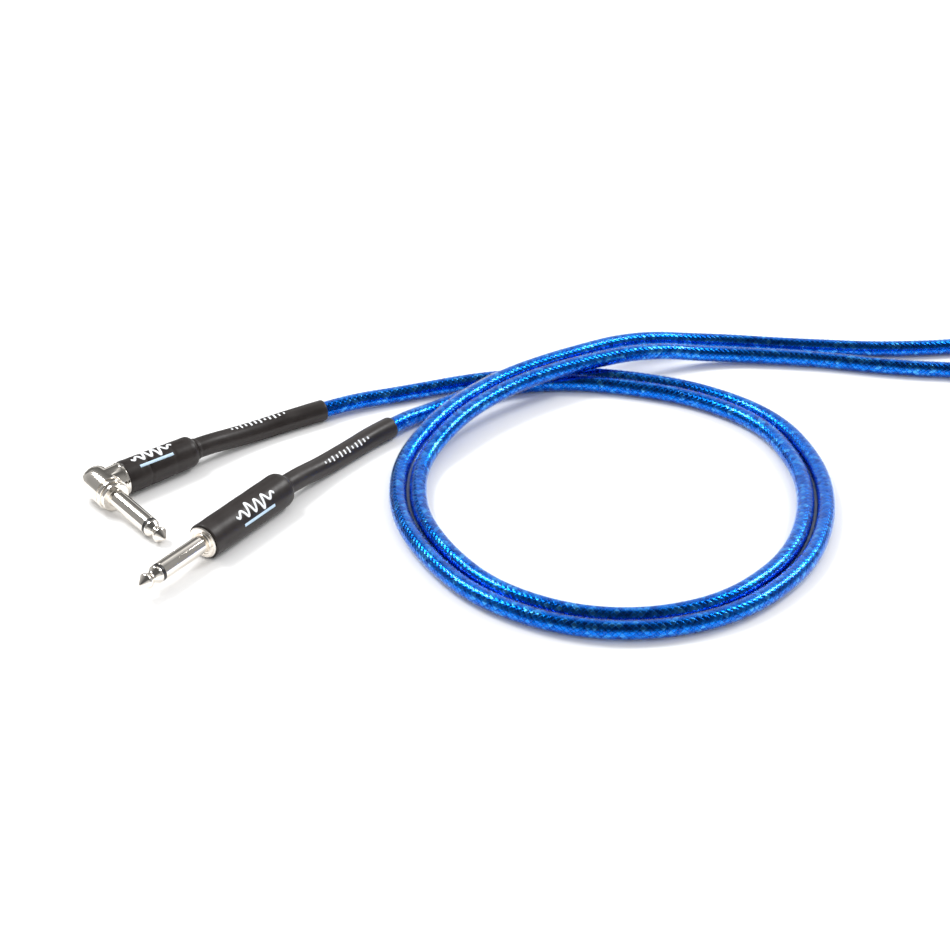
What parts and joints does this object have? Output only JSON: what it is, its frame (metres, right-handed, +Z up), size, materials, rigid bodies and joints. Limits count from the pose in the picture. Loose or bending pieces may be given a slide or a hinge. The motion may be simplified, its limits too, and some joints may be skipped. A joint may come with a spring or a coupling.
{
  "type": "instrument cable",
  "caption": "Clear-jacketed braided instrument cable folded in half and laid in a loop, with a straight and a right-angle quarter-inch plug.",
  "frame": {"origin": "on the table plane, below the middle of the loop", "axes": "+Z up from the table; +X from the loop towards the return bend of the fold; +Y towards the crossing at the back of the loop"},
  "size_m": [0.4685, 0.2317, 0.0147],
  "materials": {
    "clear_jacket": "clear blue gloss",
    "braid": "fine woven, metallic",
    "insulation": "satin",
    "copper": "bare stranded copper",
    "nickel": "polished nickel plate",
    "black_plastic": "gloss",
    "shrink": "satin heat-shrink",
    "washer": "laminated board",
    "tag_metal": "plated brass sheet",
    "solder": "bright solder"
  },
  "bodies": {
    "loop": {"outer_loop_jacket": "clear_jacket", "outer_loop_braid": "braid", "outer_loop_insulation": "insulation", "outer_loop_conductor": "copper", "inner_loop_jacket": "clear_jacket", "inner_loop_braid": "braid", "inner_loop_insulation": "insulation", "inner_loop_conductor": "copper"},
    "bight": {"bight_jacket": "clear_jacket", "bight_braid": "braid", "bight_insulation": "insulation", "bight_conductor": "copper"},
    "straight_lead": {"straight_lead_jacket": "clear_jacket", "straight_lead_braid": "braid", "straight_lead_insulation": "insulation", "straight_lead_conductor": "copper"},
    "angle_lead": {"angle_lead_jacket": "clear_jacket", "angle_lead_braid": "braid", "angle_lead_insulation": "insulation", "angle_lead_conductor": "copper"},
    "straight_plug": {"straight_tip_contact": "nickel", "straight_tip_ring": "black_plastic", "straight_rod_insulator": "insulation", "straight_sleeve_contact": "nickel", "straight_cable_clamp": "tag_metal", "straight_rear_washer": "washer", "straight_tip_tag": "tag_metal", "straight_solder_joints": "solder", "straight_barrel": "nickel", "straight_liner": "insulation", "straight_handle_shrink": "shrink", "straight_strain_sleeve": "shrink", "straight_end_jacket": "clear_jacket", "straight_end_braid": "braid", "straight_end_insulation": "insulation", "straight_end_conductor": "copper"},
    "angle_plug": {"angle_tip_contact": "nickel", "angle_tip_ring": "black_plastic", "angle_rod_insulator": "insulation", "angle_sleeve_contact": "nickel", "angle_rear_washer": "washer", "angle_tip_tag": "tag_metal", "angle_elbow_housing": "nickel", "angle_elbow_cap": "nickel", "angle_cable_clamp": "tag_metal", "angle_solder_joints": "solder", "angle_barrel": "nickel", "angle_liner": "insulation", "angle_handle_shrink": "shrink", "angle_strain_sleeve": "shrink", "angle_end_jacket": "clear_jacket", "angle_end_braid": "braid", "angle_end_insulation": "insulation", "angle_end_conductor": "copper"}
  },
  "joints": [
    {"name": "bight_lift", "type": "hinge", "parent": "loop", "child": "bight", "pos_m": [0.185, 0.1005, 0.0034], "axis": [0, -1, 0], "range_deg": [0, 30]},
    {"name": "straight_lead_swing", "type": "hinge", "parent": "loop", "child": "straight_lead", "pos_m": [-0.0645, 0.0602, 0.0034], "axis": [0, 0, 1], "range_deg": [-3, 12]},
    {"name": "straight_plug_lift", "type": "hinge", "parent": "straight_lead", "child": "straight_plug", "pos_m": [-0.07671, 0.04906, 0.00405], "axis": [-0.7193, 0.6947, 0], "range_deg": [0, 40]},
    {"name": "angle_lead_swing", "type": "hinge", "parent": "loop", "child": "angle_lead", "pos_m": [-0.072, 0.075, 0.0034], "axis": [0, 0, -1], "range_deg": [0, 35]},
    {"name": "angle_plug_twist", "type": "hinge", "parent": "angle_lead", "child": "angle_plug", "pos_m": [-0.10219, 0.06138, 0.00405], "axis": [-0.8572, -0.515, 0], "range_deg": [0, 90]}
  ]
}
